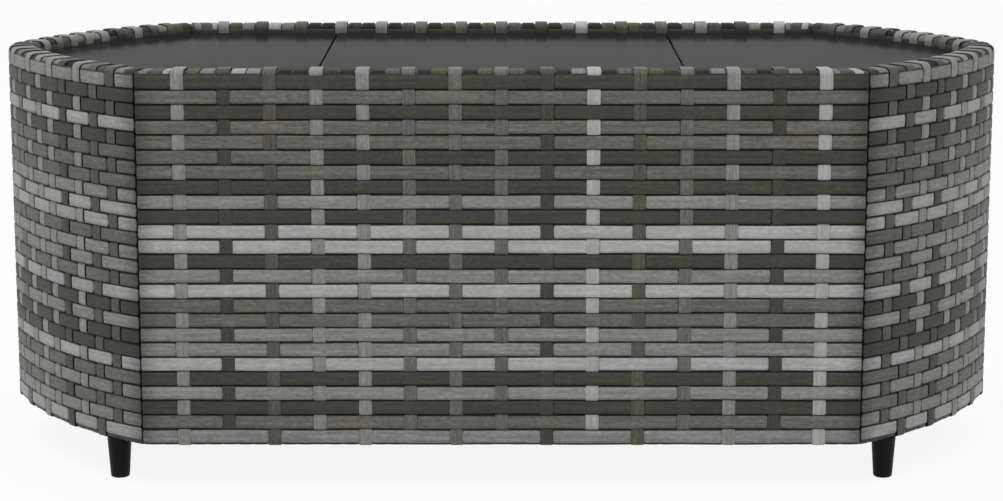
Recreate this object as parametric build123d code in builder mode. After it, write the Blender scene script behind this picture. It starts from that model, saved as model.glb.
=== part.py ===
"""Woven coffee table: steel tube frame, synthetic wicker skin, three glass panels, screw-in feet.

Millimetres. +X runs along the table, +Y to its back, +Z up. The origin is on the floor,
under the middle of the table.
"""
import math
import os

from build123d import *

# ---------------------------------------------------------------- plan of the table
table_length = 1000.0
table_depth = 420.0
corner_turn = 34.0          # degrees the outline turns at each of its four creased corners
flank_radius = 408.0        # long arc from a corner towards the end
nose_radius = 65.0          # tight arc at each end

# ---------------------------------------------------------------- heights
table_height = 405.0        # floor to the crest of the rim
foot_height = 41.0          # floor to the underside of the woven skin
glass_recess = 10.5         # glass below the crest
first_row_drop = 6.4        # crest to the top of the first woven row

# ---------------------------------------------------------------- frame
tube_size = 20.0            # square steel tube
tube_wall = 1.5
tube_corner = 2.5
ledge_width = 20.0          # flat bar that carries the glass
ledge_thickness = 3.0
seam_x = 178.0              # distance of each glass seam from the middle
seam_strip_width = 40.0
foot_from_corner = 46.0     # along the flank, corner to foot

# ---------------------------------------------------------------- wicker
weave_thickness = 3.7       # woven wall
wrap_thickness = 1.7        # strands folded under the bottom rail
rim_thickness = 2.7         # strands wrapped over the top rail
weave_seat = 0.3            # room between the strands and the steel
rim_round = 6.0
hem_chamfer = 1.5

# ---------------------------------------------------------------- glass
glass_thickness = 5.0
glass_edge_gap = 1.5        # glass to the rim, all round
glass_seam_gap = 1.5        # between neighbouring panels
glass_arris = 0.6
pad_diameter = 12.0
pad_thickness = 1.5
pad_from_seam = 13.0        # pad centre to the panel's cut edge

# ---------------------------------------------------------------- feet
foot_top_diameter = 23.8
foot_bottom_diameter = 18.2
foot_round = 2.0
stud_diameter = 8.0
stud_in_foot = 20.0
stud_above_foot = 19.0
stud_tip = 1.0
stud_hole_diameter = 9.5    # through the folded strands and the rail's lower wall
bush_diameter = 14.0
bush_clearance = 0.05       # radial, stud in its bush

# ---------------------------------------------------------------- worked out from the above
half_length = table_length / 2
half_depth = table_depth / 2
corner_angle = math.radians(corner_turn)
flank_centre_y = flank_radius * math.cos(corner_angle) - half_depth
nose_angle = math.acos(flank_centre_y / (flank_radius - nose_radius))
flank_centre_x = half_length - nose_radius - (flank_radius - nose_radius) * math.sin(nose_angle)

rail_inset = weave_thickness + weave_seat
rail_centre = rail_inset + tube_size / 2
rail_inner = rail_inset + tube_size
rim_width = rail_inner + rail_inset
ledge_inner = rail_inner + ledge_width
mitre_depth = ledge_inner + tube_size

top_rail_top = table_height - rim_thickness - weave_seat
top_rail_bottom = top_rail_top - tube_size
base_rail_bottom = foot_height + wrap_thickness + weave_seat
base_rail_top = base_rail_bottom + tube_size
glass_bottom = table_height - glass_recess - glass_thickness
ledge_top = glass_bottom - pad_thickness
ledge_bottom = ledge_top - ledge_thickness
post_height = top_rail_bottom - base_rail_top
rail_inner_y = half_depth - rail_inner
ledge_inner_y = half_depth - ledge_inner

SIDES = ("front", "back", "left", "right")
STRAIGHT_SIDES = ("front", "back")
ENDS = {"left": -1, "right": 1}
CORNERS = {
    "front_left": (-1, -1),
    "front_right": (1, -1),
    "back_left": (-1, 1),
    "back_right": (1, 1),
}

os.makedirs("parts", exist_ok=True)


def save(piece, name):
    """Label a finished piece and write it to its own file."""
    piece.part.label = name
    export_step(piece.part, f"parts/{name}.step")


# ---------------------------------------------------------------- plan geometry
def flank_point(inset, angle):
    """Point of the right front flank, drawn in by inset, where the outline has turned by angle."""
    reach = flank_radius - inset
    return Vector(flank_centre_x + reach * math.sin(angle), flank_centre_y - reach * math.cos(angle))


def corner_point(inset):
    """Right front corner of the outline drawn in by inset."""
    reach = flank_radius - inset
    rise = flank_centre_y + half_depth - inset
    return Vector(flank_centre_x + math.sqrt(reach**2 - rise**2), inset - half_depth)


def plan_face(inset):
    """The table's plan drawn in by inset: two straight sides, four flanks and two noses."""
    corner = corner_point(inset)
    start_angle = math.acos((flank_centre_y - corner.Y) / (flank_radius - inset))
    middle = flank_point(inset, (start_angle + nose_angle) / 2)
    shoulder = flank_point(inset, nose_angle)
    with BuildSketch() as plan:
        with BuildLine():
            for way_y in (-1, 1):
                side_y = -way_y * corner.Y
                Line((-corner.X, side_y), (corner.X, side_y))
                for way_x in (-1, 1):
                    ThreePointArc(
                        (way_x * corner.X, side_y),
                        (way_x * middle.X, -way_y * middle.Y),
                        (way_x * shoulder.X, -way_y * shoulder.Y),
                    )
            for way_x in (-1, 1):
                ThreePointArc(
                    (way_x * shoulder.X, shoulder.Y),
                    (way_x * (half_length - inset), 0),
                    (way_x * shoulder.X, -shoulder.Y),
                )
        make_face()
    return plan.sketch


def side_region(side):
    """Plan area of one side, cut off from its neighbours by the mitre lines at the corners."""
    inner = corner_point(mitre_depth)
    outer = corner_point(0) * 2 - inner
    if side in STRAIGHT_SIDES:
        way = 1 if side == "front" else -1
        points = [
            (-outer.X, way * outer.Y),
            (outer.X, way * outer.Y),
            (inner.X, way * inner.Y),
            (-inner.X, way * inner.Y),
        ]
    else:
        way = ENDS[side]
        points = [
            (way * inner.X, inner.Y),
            (way * outer.X, outer.Y),
            (way * table_length, outer.Y),
            (way * table_length, -outer.Y),
            (way * outer.X, -outer.Y),
            (way * inner.X, -inner.Y),
        ]
    with BuildSketch() as region:
        with BuildLine():
            Polyline(*points, close=True)
        make_face()
    return region.sketch


def band(side, near_inset, far_inset):
    """Plan strip of one side between two insets of the outline."""
    with BuildSketch() as strip:
        add(plan_face(near_inset))
        add(plan_face(far_inset), mode=Mode.SUBTRACT)
        add(side_region(side), mode=Mode.INTERSECT)
    return strip.sketch


def along_side(edges, side):
    """The edges that run along a side, without the short ones on its mitred ends."""
    if side in STRAIGHT_SIDES:
        return edges.filter_by(Axis.X)
    return edges.filter_by(GeomType.CIRCLE)


# ---------------------------------------------------------------- feet: where they stand
foot_angle = corner_angle + foot_from_corner / flank_radius
foot_spot = flank_point(rail_centre, foot_angle)
foot_places = {
    name: (way_x * foot_spot.X, -way_y * foot_spot.Y) for name, (way_x, way_y) in CORNERS.items()
}


# ---------------------------------------------------------------- frame: rails of square tube
def make_rail(side, bottom, bored):
    """Mitred square tube of one side; a bored one lets the studs in through its lower wall."""
    outer = band(side, rail_inset, rail_inner)
    bore = band(side, rail_inset + tube_wall, rail_inner - tube_wall)
    with BuildPart() as rail:
        with BuildSketch(Plane.XY.offset(bottom)):
            add(outer)
        extrude(amount=tube_size)
        long_edges = along_side(rail.edges(), side)
        fillet(long_edges, tube_corner)
        with BuildSketch(Plane.XY.offset(bottom + tube_wall)):
            add(bore)
        extrude(amount=tube_size - 2 * tube_wall, mode=Mode.SUBTRACT)
        if bored:
            with BuildSketch(Plane.XY.offset(bottom)):
                with Locations(*foot_places.values()):
                    Circle(stud_hole_diameter / 2)
            extrude(amount=tube_wall, mode=Mode.SUBTRACT)
    return rail


for side in SIDES:
    save(make_rail(side, top_rail_bottom, bored=False), f"top_rail_{side}")
    save(make_rail(side, base_rail_bottom, bored=side in ENDS), f"base_rail_{side}")


# ---------------------------------------------------------------- frame: posts
def make_post(x, y):
    """Upright square tube between the base rail and the top rail."""
    with BuildPart() as post:
        with BuildSketch(Plane.XY.offset(base_rail_top)):
            with Locations((x, y)):
                RectangleRounded(tube_size, tube_size, tube_corner)
                Rectangle(tube_size - 2 * tube_wall, tube_size - 2 * tube_wall, mode=Mode.SUBTRACT)
        extrude(amount=post_height)
    return post


corner_post_x = corner_point(rail_inset).X - tube_size / 2
post_y = half_depth - rail_centre
nose_reach = nose_radius - rail_inset
nose_bow = nose_reach - math.sqrt(nose_reach**2 - (tube_size / 2) ** 2)
nose_post_x = half_length - rail_centre - nose_bow

for corner, (way_x, way_y) in CORNERS.items():
    save(make_post(way_x * corner_post_x, way_y * post_y), f"corner_post_{corner}")
    save(make_post(way_x * seam_x, way_y * post_y), f"middle_post_{corner}")
for end, way in ENDS.items():
    save(make_post(way * nose_post_x, 0), f"nose_post_{end}")


# ---------------------------------------------------------------- frame: tubes across the table
def make_cross_tube(x, bottom):
    """Square tube from the front to the back of the frame."""
    with BuildPart() as tube:
        with BuildSketch(Plane.XZ.offset(-rail_inner_y)):
            with Locations((x, bottom + tube_size / 2)):
                RectangleRounded(tube_size, tube_size, tube_corner)
                Rectangle(tube_size - 2 * tube_wall, tube_size - 2 * tube_wall, mode=Mode.SUBTRACT)
        extrude(amount=2 * rail_inner_y)
    return tube


for end, way in ENDS.items():
    save(make_cross_tube(way * seam_x, ledge_bottom - tube_size), f"seam_tube_{end}")
    save(make_cross_tube(way * seam_x, base_rail_bottom), f"base_stretcher_{end}")

# ---------------------------------------------------------------- frame: flat bars under the glass
for side in SIDES:
    with BuildPart() as ledge:
        with BuildSketch(Plane.XY.offset(ledge_bottom)):
            add(band(side, rail_inner, ledge_inner))
        extrude(amount=ledge_thickness)
    save(ledge, f"ledge_{side}")

for end, way in ENDS.items():
    with BuildPart() as seam_strip:
        with BuildSketch(Plane.XY.offset(ledge_bottom)):
            with Locations((way * seam_x, 0)):
                Rectangle(seam_strip_width, 2 * ledge_inner_y)
        extrude(amount=ledge_thickness)
    save(seam_strip, f"seam_strip_{end}")

# ---------------------------------------------------------------- frame: threaded bushes for the feet
with BuildPart() as foot_bushes:
    with BuildSketch(Plane.XY.offset(base_rail_bottom + tube_wall)):
        with Locations(*foot_places.values()):
            Circle(bush_diameter / 2)
            Circle(stud_diameter / 2 + bush_clearance, mode=Mode.SUBTRACT)
    extrude(amount=tube_size - 2 * tube_wall)
save(foot_bushes, "foot_bushes")


# ---------------------------------------------------------------- wicker: woven walls
def make_weave(side):
    """Woven wall of one side, folded under the base rail."""
    with BuildPart() as weave:
        with BuildSketch(Plane.XY.offset(foot_height)):
            add(band(side, 0, weave_thickness))
        extrude(amount=table_height - first_row_drop - foot_height)
        with BuildSketch(Plane.XY.offset(foot_height)):
            add(band(side, 0, rail_inner))
        extrude(amount=wrap_thickness)
        hem = along_side(weave.edges().group_by(Axis.Z)[0], side)
        chamfer(hem, hem_chamfer)
        if side in ENDS:
            with BuildSketch(Plane.XY.offset(foot_height)):
                with Locations(*foot_places.values()):
                    Circle(stud_hole_diameter / 2)
            extrude(amount=wrap_thickness, mode=Mode.SUBTRACT)
    return weave


for side in SIDES:
    save(make_weave(side), f"weave_{side}")


# ---------------------------------------------------------------- wicker: wrapped rim
def make_rim(side):
    """Strands wrapped over the top rail: an upside-down channel with rounded shoulders."""
    outer_leg_bottom = table_height - first_row_drop
    inner_leg_bottom = ledge_top + weave_seat
    channel_top = table_height - rim_thickness
    with BuildPart() as rim:
        with BuildSketch(Plane.XY.offset(outer_leg_bottom)):
            add(band(side, 0, rim_width))
        extrude(amount=first_row_drop)
        with BuildSketch(Plane.XY.offset(inner_leg_bottom)):
            add(band(side, rim_width - weave_thickness, rim_width))
        extrude(amount=outer_leg_bottom - inner_leg_bottom)
        shoulders = along_side(rim.edges().group_by(Axis.Z)[-1], side)
        fillet(shoulders, rim_round)
        with BuildSketch(Plane.XY.offset(outer_leg_bottom)):
            add(band(side, weave_thickness, rim_width - weave_thickness))
        extrude(amount=channel_top - outer_leg_bottom, mode=Mode.SUBTRACT)
    return rim


for side in SIDES:
    save(make_rim(side), f"rim_{side}")


# ---------------------------------------------------------------- glass panels
def make_glass(low_x, high_x):
    """Glass panel inside the rim, between two cuts across the table."""
    with BuildPart() as glass:
        with BuildSketch(Plane.XY.offset(glass_bottom)):
            add(plan_face(rim_width + glass_edge_gap))
            with Locations(((low_x + high_x) / 2, 0)):
                Rectangle(high_x - low_x, table_depth, mode=Mode.INTERSECT)
        extrude(amount=glass_thickness)
        faces = glass.faces().filter_by(Axis.Z)
        chamfer(faces.edges(), glass_arris)
    return glass


seam_edge = seam_x - glass_seam_gap / 2
save(make_glass(-half_length, -seam_edge - glass_seam_gap), "glass_left")
save(make_glass(-seam_edge, seam_edge), "glass_middle")
save(make_glass(seam_edge + glass_seam_gap, half_length), "glass_right")

# ---------------------------------------------------------------- silicone pads under the glass
pad_inset = (rim_width + glass_edge_gap + ledge_inner) / 2
pad_side_y = half_depth - pad_inset
middle_pad_x = seam_x - pad_from_seam
end_pad_x = seam_x + pad_from_seam
flank_pad = flank_point(pad_inset, (corner_angle + nose_angle) / 2)
pad_places = {
    "middle": [(way * middle_pad_x, y) for way in (-1, 1) for y in (-pad_side_y, pad_side_y)],
}
for end, way in ENDS.items():
    pad_places[end] = [(way * end_pad_x, y) for y in (-pad_side_y, pad_side_y)]
    pad_places[end] += [(way * flank_pad.X, y) for y in (-flank_pad.Y, flank_pad.Y)]

for panel, places in pad_places.items():
    with BuildPart() as pads:
        with BuildSketch(Plane.XY.offset(ledge_top)):
            with Locations(*places):
                Circle(pad_diameter / 2)
        extrude(amount=pad_thickness)
    save(pads, f"pads_{panel}")

# ---------------------------------------------------------------- feet and their studs
for corner, (x, y) in foot_places.items():
    axis_plane = Plane(origin=(x, y, 0), x_dir=(1, 0, 0), z_dir=(0, -1, 0))
    with BuildPart() as foot:
        with BuildSketch(axis_plane):
            with BuildLine():
                Polyline(
                    (0, 0),
                    (foot_bottom_diameter / 2, 0),
                    (foot_top_diameter / 2, foot_height),
                    (0, foot_height),
                    close=True,
                )
            make_face()
        revolve(axis=Axis((x, y, 0), (0, 0, 1)))
        fillet(foot.edges().group_by(Axis.Z)[0], foot_round)
        with Locations((x, y, foot_height)):
            Hole(stud_diameter / 2, stud_in_foot)
    save(foot, f"foot_{corner}")

    with BuildPart() as stud:
        with BuildSketch(Plane.XY.offset(foot_height - stud_in_foot)):
            with Locations((x, y)):
                Circle(stud_diameter / 2)
        extrude(amount=stud_in_foot + stud_above_foot)
        chamfer(stud.edges().group_by(Axis.Z)[-1], stud_tip)
    save(stud, f"stud_{corner}")
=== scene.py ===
"""Woven coffee table: strands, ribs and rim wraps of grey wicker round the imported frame."""

import math
import random
from types import SimpleNamespace

import bpy
import numpy as np
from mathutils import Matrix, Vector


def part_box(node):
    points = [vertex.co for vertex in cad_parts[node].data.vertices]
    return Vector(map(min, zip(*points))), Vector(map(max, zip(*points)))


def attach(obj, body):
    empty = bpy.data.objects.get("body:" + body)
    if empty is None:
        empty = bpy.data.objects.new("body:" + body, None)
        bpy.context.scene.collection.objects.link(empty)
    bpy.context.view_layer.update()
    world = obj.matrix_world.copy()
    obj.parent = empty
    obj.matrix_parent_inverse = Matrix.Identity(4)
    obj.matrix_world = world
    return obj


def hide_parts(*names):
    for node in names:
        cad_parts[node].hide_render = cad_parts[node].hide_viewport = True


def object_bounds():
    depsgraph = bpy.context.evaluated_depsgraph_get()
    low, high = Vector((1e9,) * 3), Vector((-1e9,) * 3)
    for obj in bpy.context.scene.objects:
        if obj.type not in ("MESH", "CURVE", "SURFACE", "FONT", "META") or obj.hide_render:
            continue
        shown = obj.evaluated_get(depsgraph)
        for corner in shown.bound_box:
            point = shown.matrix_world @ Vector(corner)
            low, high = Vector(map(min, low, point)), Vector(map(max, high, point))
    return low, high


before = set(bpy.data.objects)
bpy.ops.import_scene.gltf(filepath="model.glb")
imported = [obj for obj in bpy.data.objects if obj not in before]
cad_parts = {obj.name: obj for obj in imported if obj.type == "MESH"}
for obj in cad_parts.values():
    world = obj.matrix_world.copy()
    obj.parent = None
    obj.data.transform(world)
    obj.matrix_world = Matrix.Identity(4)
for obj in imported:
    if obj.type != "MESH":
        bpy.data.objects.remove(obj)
cad_low, cad_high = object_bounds()

MM = 0.001
full_turn = 6.28  # radians, near enough for the phase of a wave
seed = 11
rng = random.Random(seed)

# ---------------------------------------------------------------- sizes, in metres

half_length, half_depth, table_top = cad_high
wall_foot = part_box("weave_front")[0][2]
channel_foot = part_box("rim_front")[0][2]

corner_turn = math.radians(34)
flank_radius = 408 * MM
nose_radius = 65 * MM
rim_width = 28 * MM
rim_round = 6 * MM
rim_crown = 0.6 * MM
hem_width = 23.2 * MM
hem_round = 2.2 * MM

strand_thick = 1.4 * MM
on_top = strand_thick / 2  # how far in from the outline a strand on top has its middle
underneath = 3.15 * MM  # and one that passes behind
dive = 3.4 * MM  # the length a horizontal strand takes from one to the other
overlap = 1.13  # a strand's height with its selvedges, as a share of the rows' pitch
fan_reach = 90 * MM  # how near a corner the strands start to fan
tuck = 2.6 * MM  # how far from a corner a strand turns in
tuck_round = 1.5 * MM
tuck_tails = 0.5 * MM, 0.9 * MM  # how far past its bend the tucked end goes on
corner_shadow = 11 * MM  # how near a corner the painted shadow of the crease starts to darken the strands

rib_shift = 0.4 * MM  # how far a rib may stand from its place
rib_lean = 0.5 * MM
lip_drop = 2.2 * MM  # how far below the top of the first row the wraps come out
wrap_inset = 2.2 * MM
wrap_settle = 5 * MM  # the length a wrap takes from behind the first row to the rim's face
stud_inset = 14 * MM
stud_hole = 4.8 * MM
stud_gap = 1 * MM

lining_width = 9.6 * MM
lining_thick = 1.2 * MM
lining_rise = 5.4 * MM  # from the rim channel's foot to the middle of the strand
lining_dip = 1.4 * MM
cord_width = 5.2 * MM
cord_thick = 0.5 * MM
cord_inset = 3.75 * MM
cord_from_corner = 2.3 * MM
cord_points = 12

# Waves in a strand's height, as (height, shortest length, how much longer it may be).
STRAND_WAVES = ((0.2 * MM, 0.09, 0.05), (0.16 * MM, 0.02, 0.01))

# Places to put points at, in mm. From the edge of a rib out to where the dive ends:
DIVE_STEPS = (0, 0.6, 1.2, 1.9, 2.6, 3.4)
# Up and down from where two rows meet, where a rib crosses from one level to the other:
RIB_STEPS = (-2.6, -1.5, -0.6, 0.6, 1.5, 2.6)
# From the middle of a rib, on the strand inside the rim:
LINING_STEPS = (0, 4.5, 6, 7.5, 9.5)

flank_y = flank_radius * math.cos(corner_turn) - half_depth
nose_angle = math.acos(flank_y / (flank_radius - nose_radius))
flank_x = (
    half_length - nose_radius - (flank_radius - nose_radius) * math.sin(nose_angle)
)
corner_x = flank_x + flank_radius * math.sin(corner_turn)
flank_length = flank_radius * (nose_angle - corner_turn)
nose_length = nose_radius * (math.pi - 2 * nose_angle)
end_length = 2 * flank_length + nose_length
front_length = 2 * corner_x

# ---------------------------------------------------------------- colours of the strands


def linear(*srgb):
    """A colour given as 0 to 255 in sRGB, in linear light."""
    return np.array([(c / 255 / 1.055 + 0.055 / 1.055) ** 2.4 for c in srgb])


SHADES = {
    "D": linear(50, 50, 43),  # charcoal with an olive cast
    "N": linear(71, 68, 59),  # brownish
    "E": linear(70, 69, 64),
    "M": linear(90, 90, 85),
    "O": linear(88, 90, 68),  # olive
    "L": linear(124, 124, 121),
    "B": linear(158, 158, 156),
}

# ---------------------------------------------------------------- the two kinds of side

# The front and back are woven tighter than the ends, so their strands dive closer to the ribs,
# and less painted shade shows where they dip. Shades run from the top row down, and along the
# side.
FRONT_WEAVE = SimpleNamespace(
    row_shades="DMDMMDMDLDBBDLBMMLLBDLDML",
    first_row=12.1 * MM,
    row_step=14.29 * MM,
    row_height=13.1 * MM,
    split_row=5,  # this row is made of two strands, which meet under the fourth rib
    rib_shades="LDELLMMMDBNMLDB",
    rib_step=43.51 * MM,
    rib_width=12.9 * MM,
    between_ribs=(10, 14, 18),  # more places for points, in mm from the middle of a rib
    tightness=2.3 * MM,
    # painted shade where a strand dips behind another
    dip_shade=0.3,
    tint_spread=0.035,
    tone=1,
    bright_tone=1,
    hem_wraps=2,
    hem_wrap_width=13.4 * MM,
)
END_WEAVE = SimpleNamespace(
    row_shades="LDDBDMMMLBBMLLMBDLDDBMLMLB",
    first_row=12 * MM,
    row_step=13.64 * MM,
    row_height=12.5 * MM,
    split_row=None,
    rib_shades="EELDLLLMLDDLMLLLDLEE",
    rib_step=24.8 * MM,
    rib_width=11.3 * MM,
    between_ribs=(10.5,),
    tightness=0.2 * MM,
    # more painted shade where a strand dips, on the looser ends
    dip_shade=0.78,
    tint_spread=0.08,
    tone=0.86,
    bright_tone=0.8,
    hem_wraps=1,
    hem_wrap_width=12.6 * MM,
)
split_rib = 3

# Wraps on the front rim, in groups between one rib and the next.
FRONT_WRAPS = "LMB OL BL DD ED DM DO DO MD DL DM OE DL MD LE LMB".split()
front_wrap_width = 13.2 * MM
# Beyond the last rib they are crowded into the corner, at these places with these widths.
CORNER_WRAPS = ((10.3 * MM, 6.4 * MM), (20.4 * MM, 13.0 * MM), (31.6 * MM, 8.6 * MM))
# Wraps on the rim of an end: one between each rib and the next, and two beyond the last one,
# at these places with these widths.
END_WRAPS = "MLDLLEMOLBDEMLLDMEL"
end_wrap_width = 12.6 * MM
END_CORNER_WRAPS = ((12.3 * MM, 12.2 * MM), (24.6 * MM, 11.6 * MM))
# Wraps face the light more than the walls do, so they are a little darker to start with.
WRAP_TONE = {"D": 0.62, "E": 0.64, "O": 0.74, "M": 0.78, "L": 0.9, "B": 0.98}

# ---------------------------------------------------------------- plan of a side


def straight(s, inset):
    """The front wall, from its left corner to its right one."""
    return s - corner_x, inset - half_depth + 0 * s


def pointed(s, inset):
    """The right end, from its front corner round the nose to its back corner."""
    past = s - flank_length
    angle = np.where(
        past < 0,
        corner_turn + s / flank_radius,
        np.where(
            past < nose_length,
            nose_angle + past / nose_radius,
            math.pi - nose_angle + (past - nose_length) / flank_radius,
        ),
    )
    on_nose = (past >= 0) & (past < nose_length)
    radius = np.where(on_nose, nose_radius, flank_radius) - inset
    x = np.where(on_nose, half_length - nose_radius, flank_x)
    y = np.where(on_nose, 0, np.where(past < 0, flank_y, -flank_y))
    return x + radius * np.sin(angle), y - radius * np.cos(angle)


class Side:
    """One side of the table: places given as (along, inset, height) become points in the frame."""

    def __init__(self, name, mirror, plan, length, weave):
        self.name, self.mirror = name, mirror
        self.plan, self.length, self.weave = plan, length, weave
        middle_rib = (len(weave.rib_shades) - 1) / 2
        self.ribs = [
            length / 2 + (k - middle_rib) * weave.rib_step for k in range(len(weave.rib_shades))
        ]
        self.rows = [
            table_top - weave.first_row - i * weave.row_step
            for i in range(len(weave.row_shades))
        ]
        self.lip = self.rows[0] + weave.row_height / 2 - lip_drop

    def curve(self, s):
        if self.plan is straight:
            return 0.0
        on_nose = 0 <= s - flank_length < nose_length
        return 1 / (nose_radius if on_nose else flank_radius)

    def place(self, p):
        s, inset, z = p[..., 0], p[..., 1], p[..., 2]
        near_start = np.clip(1 - s / fan_reach, 0, 1) ** 2
        near_end = np.clip(1 - (self.length - s) / fan_reach, 0, 1) ** 2
        # Towards a corner the strands fan, so that they meet along its mitre.
        s = s + inset * math.tan(corner_turn / 2) * (near_start - near_end)
        x, y = self.plan(s, inset)
        return np.stack([x * self.mirror[0], y * self.mirror[1], z], -1)


def sides():
    for name, mirror in (("front", (1, 1)), ("back", (1, -1))):
        yield Side(name, mirror, straight, front_length, FRONT_WEAVE)
    for name, mirror in (("right", (1, 1)), ("left", (-1, 1))):
        yield Side(name, mirror, pointed, end_length, END_WEAVE)


def smooth(x):
    x = np.clip(x, 0, 1)
    return x * x * (3 - 2 * x)


def depth_of(inset):
    """How far behind a strand is, from 0 on top to 1 underneath."""
    return (inset - on_top) / (underneath - on_top)


def shaded(side, inset):
    """Painted shade darkens a strand where it dips behind another."""
    dip_shade_onset = 1.4
    return 1 - side.weave.dip_shade * smooth(depth_of(inset[:, None]) * dip_shade_onset)


def varied(shade, spread=0.05):
    """A strand's colour, a little lighter or darker than its shade."""
    return SHADES[shade] * (1 + rng.uniform(-spread, spread))


def tinted(side, row, s, shade):
    """Each stretch of a strand, between the ribs it passes behind, has a tint of its own."""
    behind = [at for k, at in enumerate(side.ribs) if (row + k) % 2 == 0]
    spread = side.weave.tint_spread
    colourful = 0.006 if shade in "LB" else 0.026
    cool_share = 0.4  # cool tints are weaker than warm ones
    tints = []
    for _ in range(len(behind) + 1):
        level, warmth = 1 + rng.uniform(-spread, spread), rng.gauss(0, 1)
        warmth = colourful * (warmth if warmth > 0 else cool_share * warmth)
        tints.append([level * (1 + warmth), level, level * (1 - warmth)])
    return np.array(tints)[np.searchsorted(behind, s)]


# ---------------------------------------------------------------- ribbons

# Across a strand, as shares of its half width and half thickness: a slightly crowned
# face with rounded edges, starting and ending at the middle of its back.
SECTION = np.array(
    [(0, -0.9), (-0.93, -0.8), (-1, -0.1), (-0.955, 0.55), (-0.84, 0.86), (-0.42, 0.97),
     (0, 1), (0.42, 0.97), (0.84, 0.86), (0.955, 0.55), (1, -0.1), (0.93, -0.8)]
)
# The strands of the wall lie tight together: each has a thin selvedge that meets its
# neighbour's at the bottom of the groove between their faces, painted dark as the shade there.
SELVEDGED = np.array(
    [(0, -0.9), (-1, -1), (-1, -0.88), (-0.84, -0.7), (-0.82, 0.3), (-0.785, 0.76),
     (-0.42, 0.97), (0, 1), (0.42, 0.97), (0.785, 0.76), (0.82, 0.3), (0.84, -0.7),
     (1, -0.88), (1, -1)]
)
# Painted shade round the section: dark selvedges, and the face's lower side darker, as the shadow
# under the strand.
SELVEDGE_SHADOW = np.array([0.6, *[0.08] * 3, 0.25, 0.8, *[1] * 4, 0.6, *[0.08] * 3])

# Where each ribbon lies in the two UV maps. "strand" is in metres, and each ribbon is moved by
# its own amounts, so that no two have the same pattern.
strand_shift = 40
strand_step = 0.37
cap_reach = 6 * MM
# "OFBake" is for baking: a shelf for each ribbon, with its two ends at the right.
bake_left = 0.002
bake_length = 0.965
bake_margin = 0.06
bake_caps = 0.976, 0.99
bake_cap_width = 0.005
bake_cap_height = 0.4


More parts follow.
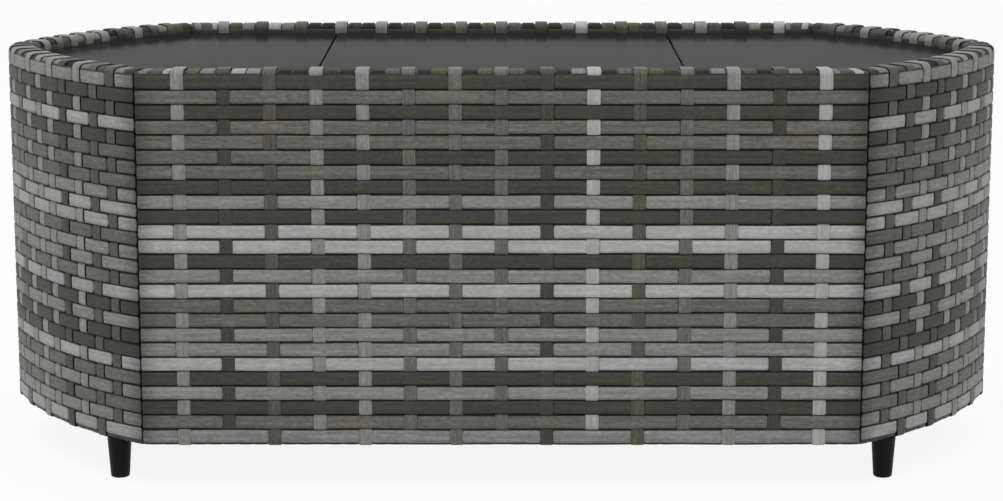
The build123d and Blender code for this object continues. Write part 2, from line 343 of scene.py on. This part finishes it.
class Piece:
    """Many ribbons as one mesh."""

    def __init__(self, name, side, section=SECTION, section_shadow=None, finish=None):
        self.name, self.side = name, side
        self.finish = finish or wicker
        self.section, self.section_shadow = section, section_shadow
        self.points, self.lengths, self.girths, self.colours = [], [], [], []

    def add(self, centre, across, width, colour, thick=strand_thick, stretch=False,
            face=1.0):
        """A ribbon along centre. across is the axis its width lies along: 0 along the side,
        2 upright. stretch lets its width shrink with the side's curve, and face narrows
        what lies between its selvedges."""
        centre = np.asarray(centre, float)
        flow = np.gradient(centre, axis=0)
        flow /= np.linalg.norm(flow, axis=1)[:, None] + 1e-12
        if across == 2:
            normal = np.stack([flow[:, 1], -flow[:, 0], 0 * flow[:, 0]], 1)
        else:
            normal = np.stack([0 * flow[:, 0], -flow[:, 2], flow[:, 1]], 1)
        width = np.broadcast_to(width, len(centre))
        face = np.broadcast_to(face, len(centre))
        between = np.abs(self.section[:, 0]) < 0.9
        a = self.section[:, 0] * np.where(between, face[:, None], 1) * width[:, None] / 2
        b = self.section[:, 1][None] * thick / 2
        if across == 0 and not stretch:
            curve = self.side.curve(centre[0, 0])
            a = a / (1 - centre[:, 1] * curve)[:, None]
        p = centre[:, None, :] + normal[:, None, :] * b[..., None]
        p[..., across] += a
        points = self.side.place(p)
        step = np.linalg.norm(np.diff(points.mean(1), axis=0), axis=1)
        ring = np.roll(points[0], -1, 0) - points[0]
        colour = np.asarray(colour, float)
        if colour.ndim == 1:
            colour = np.repeat(colour[None], len(centre), 0)
        self.points.append(points)
        self.lengths.append(np.concatenate([[0], np.cumsum(step)]))
        self.girths.append(
            np.concatenate([[0], np.cumsum(np.linalg.norm(ring, axis=1))])
        )
        self.colours.append(colour)

    def build(self, nodes):
        m = len(self.section)
        verts, colours, faces, strand_uv, bake_uv = [], [], [], [], []
        caps, cap_strand, cap_bake = [], [], []
        first = 0
        longest = max(x[-1] for x in self.lengths)
        shelf = 1 / len(self.points)
        for k, p in enumerate(self.points):
            n = len(p)
            i, j = np.meshgrid(np.arange(n - 1), np.arange(m), indexing="ij")
            i, j = i.ravel(), j.ravel()
            corners = [(i, j), (i + 1, j), (i + 1, j + 1), (i, j + 1)]
            quad = np.stack([first + a * m + b % m for a, b in corners], 1)
            flat = p.reshape(-1, 3)
            local = quad - first
            t = [flat[local[:, c]] - flat.mean(0) for c in range(3)]
            volume = np.einsum("ij,ij->i", t[0], np.cross(t[1], t[2])).sum()
            order = [0, 1, 2, 3] if volume > 0 else [3, 2, 1, 0]
            u, q = self.lengths[k], self.girths[k]
            shift, step = rng.uniform(0, strand_shift), k * strand_step
            su = np.stack([u[a] + shift for a, b in corners], 1)
            sv = np.stack([q[b] + step for a, b in corners], 1)
            bu = np.stack(
                [u[a] / longest * bake_length + bake_left for a, b in corners], 1
            )
            inside = 1 - 2 * bake_margin
            bv = np.stack(
                [(k + bake_margin + inside * q[b] / q[-1]) * shelf for a, b in corners], 1
            )
            faces.append(quad[:, order])
            strand_uv.append(np.stack([su, sv], -1)[:, order])
            bake_uv.append(np.stack([bu, bv], -1)[:, order])
            for end, at in zip((0, n - 1), bake_caps):
                ring = first + end * m + np.arange(m)
                spin = 1 if (end == 0) == (volume > 0) else -1
                c = self.section[::spin]
                caps.append(ring[::spin])
                cap_strand.append(
                    np.stack(
                        [u[end] + shift + 0 * c[:, 0], c[:, 0] * cap_reach + step], 1
                    )
                )
                cap_bake.append(
                    np.stack([
                        at + c[:, 1] * bake_cap_width,
                        (k + 0.5 + bake_cap_height * c[:, 0]) * shelf,
                    ], 1)
                )
            verts.append(flat)
            tint = np.repeat(self.colours[k], m, 0)
            # painted shade across the section, where the piece has it
            if self.section_shadow is not None:
                tint = tint * np.tile(self.section_shadow, n)[:, None]
            colours.append(tint)
            first += n * m
        verts, colours = np.concatenate(verts), np.concatenate(colours)
        faces, caps = np.concatenate(faces), np.stack(caps)
        starts = np.concatenate(
            [np.arange(len(faces)) * 4, len(faces) * 4 + np.arange(len(caps)) * m]
        )
        loops = np.concatenate([faces.ravel(), caps.ravel()])
        me = bpy.data.meshes.new(self.name)
        me.vertices.add(len(verts))
        me.vertices.foreach_set("co", verts.ravel())
        me.loops.add(len(loops))
        me.loops.foreach_set("vertex_index", loops.astype(np.int32))
        me.polygons.add(len(starts))
        me.polygons.foreach_set("loop_start", starts.astype(np.int32))
        me.update(calc_edges=True)
        for name, sides_uv, ends_uv in (
            ("strand", strand_uv, cap_strand),
            ("OFBake", bake_uv, cap_bake),
        ):
            layer = me.uv_layers.new(name=name)
            uv = np.concatenate(
                [np.concatenate(sides_uv).reshape(-1, 2), np.concatenate(ends_uv)]
            )
            layer.uv.foreach_set("vector", uv.astype(np.float32).ravel())
        me.uv_layers["strand"].active = True
        me.uv_layers["strand"].active_render = True
        shade = me.attributes.new("shade", "FLOAT_COLOR", "POINT")
        shade.data.foreach_set(
            "color",
            np.concatenate([colours, np.ones((len(colours), 1))], 1)
            .astype(np.float32).ravel(),
        )
        soft = np.ones(len(starts), bool)
        soft[len(faces):] = False
        me.polygons.foreach_set("use_smooth", soft)
        me.validate()
        me.materials.append(self.finish)
        ob = bpy.data.objects.new(self.name, me)
        bpy.context.scene.collection.objects.link(ob)
        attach(ob, "frame")
        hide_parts(*nodes)
        return ob


# ---------------------------------------------------------------- the weave


def near_ribs(side, offsets, ends):
    """Places along a side, closer together round each rib, from one end to the other."""
    places = {round(r + o * MM, 6) for r in side.ribs for o in offsets}
    low, high = ends
    kept = sorted(x for x in places if low + 1 * MM < x < high - 1 * MM)
    return np.array([low, *kept, high])

def strand(side, row):
    """The middle line of one horizontal strand, which tucks in at both corners."""
    weave = side.weave
    edge = (weave.rib_width / 2 - weave.tightness) / MM
    steps = [0, 2.2, *(edge + o for o in DIVE_STEPS)]
    steps += [*weave.between_ribs, weave.rib_step / 2 / MM]
    s = near_ribs(side, [o * k for o in steps for k in (-1, 1)], (tuck, side.length - tuck))
    inset = np.full(len(s), on_top)
    for k, rib_at in enumerate(side.ribs):
        if (row + k) % 2 == 0:
            away = np.abs(s - rib_at) - weave.rib_width / 2 + weave.tightness
            inset = np.maximum(
                inset, on_top + (underneath - on_top) * (1 - smooth(away / dive))
            )
    phases = [rng.uniform(0, full_turn) for _ in STRAND_WAVES]
    z = side.rows[row]
    for phase, (height, shortest, more) in zip(phases, STRAND_WAVES):
        z = z + height * np.sin(s / (shortest + more * rng.random()) + phase)
    fold = np.linspace(0, 1, 8)[1:] * math.pi / 2
    out_s = np.concatenate([np.sin(fold) * tuck_round, [tuck_round, tuck_round]])
    out_d = np.concatenate([
        (1 - np.cos(fold)) * tuck_round, tuck_round + np.array(tuck_tails),
    ])
    s = np.concatenate([(tuck - out_s)[::-1], s, side.length - tuck + out_s])
    inset = np.concatenate([(on_top + out_d)[::-1], inset, on_top + out_d])
    z = np.concatenate([np.full(len(out_s), z[0]), z, np.full(len(out_s), z[-1])])
    return np.stack([s, inset, z], 1)


def rim_line(side, inset_to, inset_from, foot):
    """A section of the rim from just behind the first row, over the top and down inside,
    as (inset, height). It is sunk below the rim's outer face, by inset_from at its start
    and by inset_to from wrap_settle on."""
    r, top = rim_round, table_top
    before_bend, after_bend = 0.8 * MM, 2 * MM
    bend = np.linspace(0, math.pi / 2, 8)
    d = np.concatenate([
        np.zeros(3), r - r * np.cos(bend),
        np.linspace(r, rim_width - r, 6)[1:-1],
        rim_width - r + r * np.sin(bend), np.full(3, rim_width),
    ])
    z = np.concatenate([
        np.linspace(side.lip, top - r - before_bend, 3), top - r + r * np.sin(bend),
        np.full(4, top),
        top - r + r * np.cos(bend), np.linspace(top - r - after_bend, foot, 3),
    ])
    z = z - rim_crown * ((d - rim_width / 2) / (rim_width / 2)) ** 2
    z[-1] = max(z[-1], foot)
    flow = np.gradient(np.stack([d, z], 1), axis=0)
    flow /= np.linalg.norm(flow, axis=1)[:, None]
    run = np.concatenate([[0], np.cumsum(np.hypot(np.diff(d), np.diff(z)))])
    sunk = inset_to + (inset_from - inset_to) * (1 - smooth(run / wrap_settle))
    return d + flow[:, 1] * sunk, z - flow[:, 0] * sunk


def near_stud(side, s, width):
    """Whether a ribbon round the hem would meet a foot's stud."""
    at = side.place(np.array([s, stud_inset, 0.0]))
    for name in studs:
        low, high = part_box(name)
        middle = [(low[0] + high[0]) / 2, (low[1] + high[1]) / 2]
        if math.hypot(at[0] - middle[0], at[1] - middle[1]) < width / 2 + stud_hole:
            return True
    return False


def hem_line(start_inset, side, s, width, up_to):
    """Round the bottom of the wall, from the inside to the outside and up."""
    by_stud = stud_inset - stud_hole - stud_gap
    inner = by_stud if near_stud(side, s, width) else hem_width
    low = wall_foot + on_top
    a = np.linspace(0, math.pi / 2, 6)
    d = np.concatenate([
        np.linspace(inner, start_inset + hem_round, 5)[:-1],
        start_inset + hem_round - hem_round * np.sin(a), [start_inset],
    ])
    z = np.concatenate([np.full(4, low), low + hem_round - hem_round * np.cos(a), [up_to]])
    return d, z


def rib(side, k):
    """The middle line of one upright rib: under the hem, up the wall and over the rim."""
    s = side.ribs[k] + rng.uniform(-1, 1) * rib_shift
    below_row, above_foot = 3 * MM, 0.2 * MM
    rows, half = side.rows, side.weave.row_step / 2
    levels = [on_top if (row + k) % 2 == 0 else underneath for row in range(len(rows))]
    dh, zh = hem_line(levels[-1], side, s, side.weave.rib_width, rows[-1] - below_row)
    zw, dw = [], []
    for row in range(len(rows) - 1, 0, -1):
        for o in RIB_STEPS:
            share = smooth((o - RIB_STEPS[0]) / (RIB_STEPS[-1] - RIB_STEPS[0]))
            zw.append(rows[row] + half + o * MM)
            dw.append(levels[row] + (levels[row - 1] - levels[row]) * share)
        zw.append(rows[row - 1])
        dw.append(levels[row - 1])
    dr, zr = rim_line(side, on_top, levels[0], channel_foot + above_foot)
    d, z = np.concatenate([dh, dw, dr]), np.concatenate([zh, zw, zr])
    lean, half_wave = rng.uniform(-1, 1) * rib_lean, 3.1
    along = s + lean * np.sin((z - wall_foot) / (table_top - wall_foot) * half_wave)
    return np.stack([along, d, z], 1)


def wrap(side, s, lowest):
    """The middle line of one wrap over the rim."""
    d, z = rim_line(side, wrap_inset, underneath, lowest)
    return np.stack([np.full(len(d), s), d, z], 1)


def hem_wrap(side, s, width):
    """The middle line of one wrap round the bottom of the wall."""
    before_strands, below_row = 0.5 * MM, 1 * MM
    d, z = hem_line(underneath - before_strands, side, s, width, side.rows[-1] - below_row)
    return np.stack([np.full(len(d), s), d, z], 1)


def inner_strand(side):
    """The horizontal strand on the inside of the rim, level with the glass."""
    end_gap = dip_edge = 1 * MM
    steps = [*LINING_STEPS, side.weave.rib_step / 2 / MM]
    s = near_ribs(
        side, [o * k for o in steps for k in (-1, 1)], (end_gap, side.length - end_gap)
    )
    inset = np.full(len(s), rim_width - on_top)
    for rib_at in side.ribs:
        away = np.abs(s - rib_at) - (side.weave.rib_width / 2 - dip_edge)
        under = rim_width - on_top - lining_dip
        inset = np.minimum(inset, under + lining_dip * smooth(away / dive))
    return np.stack([s, inset, np.full(len(s), channel_foot + lining_rise)], 1)


def wraps_of(side):
    """Each rim wrap as (place along the side, width, shade)."""
    ribs = side.ribs
    if side.plan is pointed:
        for a, b, shade in zip(ribs, ribs[1:], END_WRAPS):
            yield (a + b) / 2, end_wrap_width, shade
        for end, shades, way in ((ribs[0], "LE", -1), (ribs[-1], "ME", 1)):
            for shade, (at, width) in zip(shades, END_CORNER_WRAPS):
                yield end + way * at, width, shade
        return
    first, *between, last = FRONT_WRAPS
    for a, b, group in zip(ribs, ribs[1:], between):
        for i, shade in enumerate(group):
            yield a + (b - a) * (i + 1) / (len(group) + 1), front_wrap_width, shade
    for end, group, way in ((ribs[0], first[::-1], -1), (ribs[-1], last, 1)):
        for shade, (at, width) in zip(group, CORNER_WRAPS):
            yield end + way * at, width, shade


def hems_of(side):
    """Places along the side for the wraps round its hem: between the ribs and beyond them."""
    ribs, number = side.ribs, side.weave.hem_wraps
    for a, b in zip(ribs, ribs[1:]):
        for i in range(number):
            yield a + (b - a) * (i + 1) / (number + 1)
    for end, way in ((ribs[0], -1), (ribs[-1], 1)):
        gap = side.weave.rib_step / (number + 1)
        yield end + way * gap
        yield end + way * 2 * gap


def strand_colours(side, row, line):
    """A colour for each point of one horizontal strand."""
    bulge_highlight, darkest_crease_shade = 1.05, 0.45
    weave, shade = side.weave, side.weave.row_shades[row]
    colour = np.repeat(varied(shade)[None], len(line), 0)
    # A strand is painted a little paler where it rides over a hidden rib: a painted highlight on
    # the bulge it makes there.
    for k, rib_at in enumerate(side.ribs):
        if (row + k) % 2:
            colour[np.abs(line[:, 0] - rib_at) < weave.rib_width / 2] *= bulge_highlight
    # Painted shade where the strand dips behind the ribs.
    colour *= shaded(side, line[:, 1])
    if row == weave.split_row:
        first = line[:, 0] < side.ribs[split_rib]
        colour[first] = varied("M") * shaded(side, line[first, 1])
    # Painted shadow darkens the strand towards the crease at the corner.
    to_corner = np.minimum(line[:, 0], side.length - line[:, 0])[:, None]
    colour *= darkest_crease_shade + (1 - darkest_crease_shade) * smooth(to_corner / corner_shadow)
    colour *= tinted(side, row, line[:, 0], shade)
    return colour * (weave.bright_tone if shade == "B" else weave.tone)


def weave_strands(side, wall):
    """The horizontal strands, in an upper and a lower piece to stay within the export's size."""
    full_face, narrowing, narrowing_onset = 0.94, 0.26, 1.5
    upper = Piece("upper_strands_" + side.name, side, SELVEDGED, SELVEDGE_SHADOW)
    lower = Piece("lower_strands_" + side.name, side, SELVEDGED, SELVEDGE_SHADOW)
    for row in range(len(side.rows)):
        line = strand(side, row)
        colour = strand_colours(side, row, line)
        # It is pressed a little narrower in some places than in others.
        phase, wave, press = rng.uniform(0, full_turn), rng.uniform(0.018, 0.03), 0.016
        height = side.weave.row_step * overlap * (
            1 - press * (1 + np.sin(line[:, 0] / wave + phase))
        )
        # Its face is narrower where it turns in behind a rib.
        face = full_face - narrowing * smooth(depth_of(line[:, 1]) * narrowing_onset)
        half = upper if row < len(side.rows) / 2 else lower
        half.add(line, 2, height, colour, face=face)
    upper.build([wall])
    lower.build([wall])


def weave_ribs(side, wall, rim):
    ribs = Piece("ribs_" + side.name, side)
    for k, shade in enumerate(side.weave.rib_shades):
        line = rib(side, k)
        # Below the first row, painted shade where the rib dips behind the strands.
        colour = varied(shade) * np.where(
            line[:, [2]] < side.rows[0], shaded(side, line[:, 1]), 1
        )
        ribs.add(line, 0, side.weave.rib_width * rng.uniform(0.98, 1.02), colour)
    ribs.build([wall, rim])


def wrap_rim(side, rim):
    wraps = Piece("wraps_" + side.name, side, finish=dull_wicker)
    for s, width, shade in wraps_of(side):
        lowest = channel_foot + rng.uniform(1.5, 2.5) * MM
        colour = varied(shade, 0.1) * WRAP_TONE[shade]
        wraps.add(wrap(side, s, lowest), 0, width, colour, stretch=True)
    wraps.build([rim])

    lining = Piece("lining_" + side.name, side)
    line = inner_strand(side)
    lining.add(line[::-1], 2, lining_width, varied("D"), thick=lining_thick)
    lining.build([rim])


def wrap_hem(side, wall):
    hems = Piece("hem_" + side.name, side)
    width = side.weave.hem_wrap_width
    for s in hems_of(side):
        hems.add(hem_wrap(side, s, width), 0, width, varied("D", 0.2), stretch=True)
    hems.build([wall])


def corner_cords(side, wall):
    """An upright strand behind each corner, which the crease shows, painted at half a dark
    strand's colour as the shade in the crease.
    """
    above_foot, below_top, crease_shadow_tone = 1 * MM, 6 * MM, 0.5
    cords = Piece("corner_cords_" + side.name, side)
    z = np.linspace(wall_foot + above_foot, table_top - below_top, cord_points)
    inset = np.full(cord_points, cord_inset)
    for at in (cord_from_corner, side.length - cord_from_corner):
        line = np.stack([np.full(cord_points, at), inset, z], 1)
        # Painted shade: the strand is painted darker to stand for the shade of the crease.
        colour = varied("D", 0) * crease_shadow_tone
        cords.add(line, 0, cord_width, colour, thick=cord_thick, stretch=True)
    cords.build([wall])


def weave(side):
    wall, rim = "weave_" + side.name, "rim_" + side.name
    weave_strands(side, wall)
    weave_ribs(side, wall, rim)
    wrap_rim(side, rim)
    wrap_hem(side, wall)
    corner_cords(side, wall)


# ---------------------------------------------------------------- materials


class Nodes:
    """A material's nodes, made one line each."""

    def __init__(self, name):
        self.material = bpy.data.materials.new(name)
        self.material.use_nodes = True
        self.tree = self.material.node_tree
        self.shader = self.tree.nodes["Principled BSDF"]

    def add(self, kind, inputs=(), **settings):
        node = self.tree.nodes.new("ShaderNode" + kind)
        for key, value in settings.items():
            setattr(node, key, value)
        for key, value in dict(inputs).items():
            self.put(node, key, value)
        return node

    def put(self, node, key, value):
        if isinstance(value, bpy.types.NodeSocket):
            self.tree.links.new(value, node.inputs[key])
        else:
            node.inputs[key].default_value = value

    def surface(self, **inputs):
        for key, value in inputs.items():
            self.put(self.shader, key.replace("_", " "), value)

    def noise(self, where, scale, detail=2.0, roughness=0.5):
        node = self.add(
            "TexNoise",
            {"Vector": where, "Scale": scale, "Detail": detail, "Roughness": roughness},
        )
        return node.outputs["Fac"]

    def scaled(self, where, scale):
        node = self.add("Mapping", {"Vector": where, "Scale": scale})
        return node.outputs["Vector"]

    def span(self, value, low, high, to_low, to_high):
        node = self.add(
            "MapRange",
            {
                "Value": value, "From Min": low, "From Max": high,
                "To Min": to_low, "To Max": to_high,
            },
        )
        return node.outputs["Result"]

    def mix(self, factor, a, b, how="MIX"):
        node = self.add("Mix", data_type="RGBA", blend_type=how)
        self.put(node, 0, factor)
        self.put(node, 6, a)
        self.put(node, 7, b)
        return node.outputs[2]

    def bump(self, height, strength, distance):
        node = self.add(
            "Bump", {"Height": height, "Strength": strength, "Distance": distance}
        )
        return node.outputs["Normal"]

    def plain(self):
        return self.add("TexCoord").outputs["Object"]


# What a strand's own shade is multiplied by where it is weathered.
OLIVE = (1.28, 1.22, 0.55, 1)
PALE = (1.2, 1.2, 1.24, 1)
BROWN = (1.3, 1.04, 0.84, 1)


def wicker_material(name, rough, ior):
    """Noise scales are roughly in marks to the metre, along a strand and round it."""
    m = Nodes(name)
    uv = m.add("UVMap", uv_map="strand").outputs["UV"]
    shade = m.add("Attribute", attribute_name="shade").outputs["Color"]
    grain = m.noise(m.scaled(uv, (55, 1500, 1)), 1.0, 3.0, 0.6)
    streak = m.noise(m.scaled(uv, (12, 420, 1)), 1.0, 2.0)
    mottle = m.noise(m.scaled(uv, (170, 420, 1)), 1.0, 4.0, 0.65)
    patch = m.noise(m.scaled(uv, (42, 150, 1)), 1.0, 3.0, 0.6)
    blotch = m.noise(m.scaled(uv, (7, 40, 1)), 1.0, 1.0)
    rust = m.noise(m.scaled(uv, (30, 110, 1)), 1.3, 2.0)

    # Dark strands show the wear most. The darkest turn olive or brown, and pale ones only a
    # tenth as much.
    tone = m.add("RGBToBW", {"Color": shade}).outputs["Val"]
    dark = m.span(tone, 0.02, 0.3, 1, 0.12)
    darkest = m.span(tone, 0.03, 0.13, 1, 0.1)
    pale = m.mix(1.0, shade, PALE, "MULTIPLY")
    colour = m.mix(m.span(blotch, 0.45, 0.75, 0, 0.6), shade, pale)
    for tint, marks in (
        (OLIVE, m.span(patch, 0.5, 0.72, 0, 0.9)),
        (BROWN, m.span(rust, 0.58, 0.75, 0, 0.7)),
    ):
        marks = m.add("Math", {0: marks, 1: darkest}, operation="MULTIPLY").outputs[0]
        colour = m.mix(marks, colour, m.mix(1.0, shade, tint, "MULTIPLY"))
    worn = colour
    for pattern, least, most in (
        (streak, 0.66, 1.32), (grain, 0.68, 1.32), (mottle, 0.55, 1.45),
    ):
        level = m.span(pattern, 0.28, 0.72, least, most)
        grey = m.add("CombineColor", {"Red": level, "Green": level, "Blue": level})
        worn = m.mix(1.0, worn, grey.outputs["Color"], "MULTIPLY")
    m.surface(
        Base_Color=m.mix(m.span(dark, 0, 1, 0.35, 1), colour, worn),
        Roughness=m.span(streak, 0.3, 0.7, *rough),
        Normal=m.bump(grain, 0.4, 0.0003),
        IOR=ior,
    )
    return m.material


def glass_material():
    m = Nodes("black_glass")
    cloud = m.noise(m.plain(), 7.0, 2.0)
    m.surface(
        # The glass's dark grey is partly its own colour and partly painted reflection of the white
        # studio, which an IOR this low leaves out when seen from above.
        Base_Color=m.mix(cloud, (0.017, 0.017, 0.018, 1), (0.021, 0.021, 0.022, 1)),
        Roughness=m.span(cloud, 0.3, 0.7, 0.11, 0.15),
        IOR=1.0185,
    )
    return m.material


def grained(name, dark, light, scale, rough, height, metal=0.0, ior=1.45,
            stretch=(1, 1, 1)):
    """Paint, plastic, rubber or plating: a colour that varies over a fine grain."""
    m = Nodes(name)
    where = m.scaled(m.plain(), stretch)
    fine = m.noise(where, scale, 3.0, 0.6)
    broad = m.noise(where, scale / 30, 2.0)
    both = m.add("Math", {0: fine, 1: broad}, operation="ADD").outputs[0]
    m.surface(
        Base_Color=m.mix(m.span(both, 0.6, 1.4, 0, 1), (*dark, 1), (*light, 1)),
        Roughness=m.span(broad, 0.3, 0.7, *rough),
        Normal=m.bump(fine, 0.4, height),
        Metallic=metal,
        IOR=ior,
    )
    return m.material


wicker = wicker_material("wicker", (0.48, 0.62), 1.45)
# The wraps over the rim are rubbed dull.
dull_wicker = wicker_material("dull_wicker", (0.62, 0.74), 1.2)
finishes = {
    "black_glass": glass_material(),
    "frame_paint": grained(
        "frame_paint", (0.028, 0.028, 0.03), (0.045, 0.045, 0.047), 900,
        (0.5, 0.62), 0.00015,
    ),
    "foot_plastic": grained(
        "foot_plastic", (0.0035, 0.0035, 0.0037), (0.007, 0.007, 0.0074), 700,
        (0.42, 0.52), 0.0002, ior=1.2, stretch=(1, 1, 0.25),
    ),
    "zinc_steel": grained(
        "zinc_steel", (0.52, 0.52, 0.5), (0.68, 0.68, 0.65), 500,
        (0.3, 0.42), 0.00008, metal=1.0,
    ),
    "silicone": grained(
        "silicone", (0.62, 0.63, 0.63), (0.74, 0.75, 0.75), 400, (0.4, 0.5), 0.0001,
    ),
}

FINISH_OF = (
    ("glass_", "black_glass"), ("foot_bushes", "zinc_steel"), ("foot_", "foot_plastic"),
    ("stud_", "zinc_steel"), ("pads_", "silicone"), ("", "frame_paint"),
)
studs = [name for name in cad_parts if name.startswith("stud_")]

for name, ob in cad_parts.items():
    if name.startswith(("weave_", "rim_")):
        continue
    finish = next(f for start, f in FINISH_OF if name.startswith(start))
    ob.data.materials.clear()
    ob.data.materials.append(finishes[finish])

for side in sides():
    weave(side)

# ---------------------------------------------------------------- floor, light and camera

floor_reach = 30.0
floor_grey = 0.93
floor_glow = 0.9  # the share of the floor's colour, as the camera sees it, that is plain white
studio_light = 0.78  # the strength of the world on the object

scene = bpy.context.scene


def background_ray(tree):
    """1 for rays that see the background: from the camera, or in a gloss or through glass."""
    path = tree.nodes.new("ShaderNodeLightPath")
    total = path.outputs["Is Camera Ray"]
    for name in ("Is Glossy Ray", "Is Transmission Ray"):
        most = tree.nodes.new("ShaderNodeMath")
        most.operation = "MAXIMUM"
        tree.links.new(total, most.inputs[0])
        tree.links.new(path.outputs[name], most.inputs[1])
        total = most.outputs[0]
    return total


def make_floor():
    """A pale floor, which takes a faint shadow."""
    r = floor_reach
    mesh = bpy.data.meshes.new("floor")
    mesh.from_pydata([(-r, -r, 0), (r, -r, 0), (r, r, 0), (-r, r, 0)], [], [(0, 1, 2, 3)])
    floor = bpy.data.objects.new("floor", mesh)
    scene.collection.objects.link(floor)
    pale = bpy.data.materials.new("pale_floor")
    pale.use_nodes = True
    tree = pale.node_tree
    tree.nodes.remove(tree.nodes["Principled BSDF"])
    matt = tree.nodes.new("ShaderNodeBsdfDiffuse")
    matt.inputs["Color"].default_value = (floor_grey, floor_grey, floor_grey, 1)
    glow = tree.nodes.new("ShaderNodeEmission")
    glow.inputs["Color"].default_value = (1, 1, 1, 1)
    share = tree.nodes.new("ShaderNodeMath")
    share.operation = "MULTIPLY"
    share.inputs[1].default_value = floor_glow
    blend = tree.nodes.new("ShaderNodeMixShader")
    tree.links.new(background_ray(tree), share.inputs[0])
    tree.links.new(share.outputs[0], blend.inputs[0])
    tree.links.new(matt.outputs[0], blend.inputs[1])
    tree.links.new(glow.outputs[0], blend.inputs[2])
    tree.links.new(blend.outputs[0], tree.nodes["Material Output"].inputs["Surface"])
    mesh.materials.append(pale)


def make_world():
    """Even light on the object, and white behind it."""
    world = bpy.data.worlds.new("studio")
    scene.world = world
    world.use_nodes = True
    tree = world.node_tree
    sky = tree.nodes["Background"]
    sky.inputs["Color"].default_value = (1, 1, 1, 1)
    level = tree.nodes.new("ShaderNodeMapRange")
    level.inputs["To Min"].default_value = studio_light
    level.inputs["To Max"].default_value = 1.0
    tree.links.new(background_ray(tree), level.inputs["Value"])
    tree.links.new(level.outputs[0], sky.inputs["Strength"])


def look_at(ob, aim):
    away = np.array(ob.location) - np.array(aim)
    yaw = math.atan2(away[0], -away[1])
    pitch = math.atan2(away[2], math.hypot(away[0], away[1]))
    ob.rotation_euler = (math.pi / 2 - pitch, 0, yaw)


def softbox(name, place, aim, size, power):
    data = bpy.data.lights.new(name, "AREA")
    data.shape = "RECTANGLE"
    data.size, data.size_y = size
    data.energy = power
    ob = bpy.data.objects.new(name, data)
    scene.collection.objects.link(ob)
    ob.location = place
    look_at(ob, aim)


def make_camera(place, tilt, lens, shift):
    """A camera in front of the table, tilted down by so many degrees."""
    data = bpy.data.cameras.new("camera")
    data.sensor_width = 36
    data.lens = lens
    data.shift_y = shift
    data.clip_end = 100
    camera = bpy.data.objects.new("camera", data)
    scene.collection.objects.link(camera)
    scene.camera = camera
    camera.location = place
    camera.rotation_euler = (math.radians(90 - tilt), 0, 0)


make_floor()
make_world()
softbox("overhead", place=(-0.6, -0.4, 2.6), aim=(0, 0, 0.3), size=(2.6, 2.2), power=26)
make_camera(place=(0, -2.583, 0.711), tilt=10.28, lens=91.73, shift=-0.05)

scene.view_settings.view_transform = "Standard"
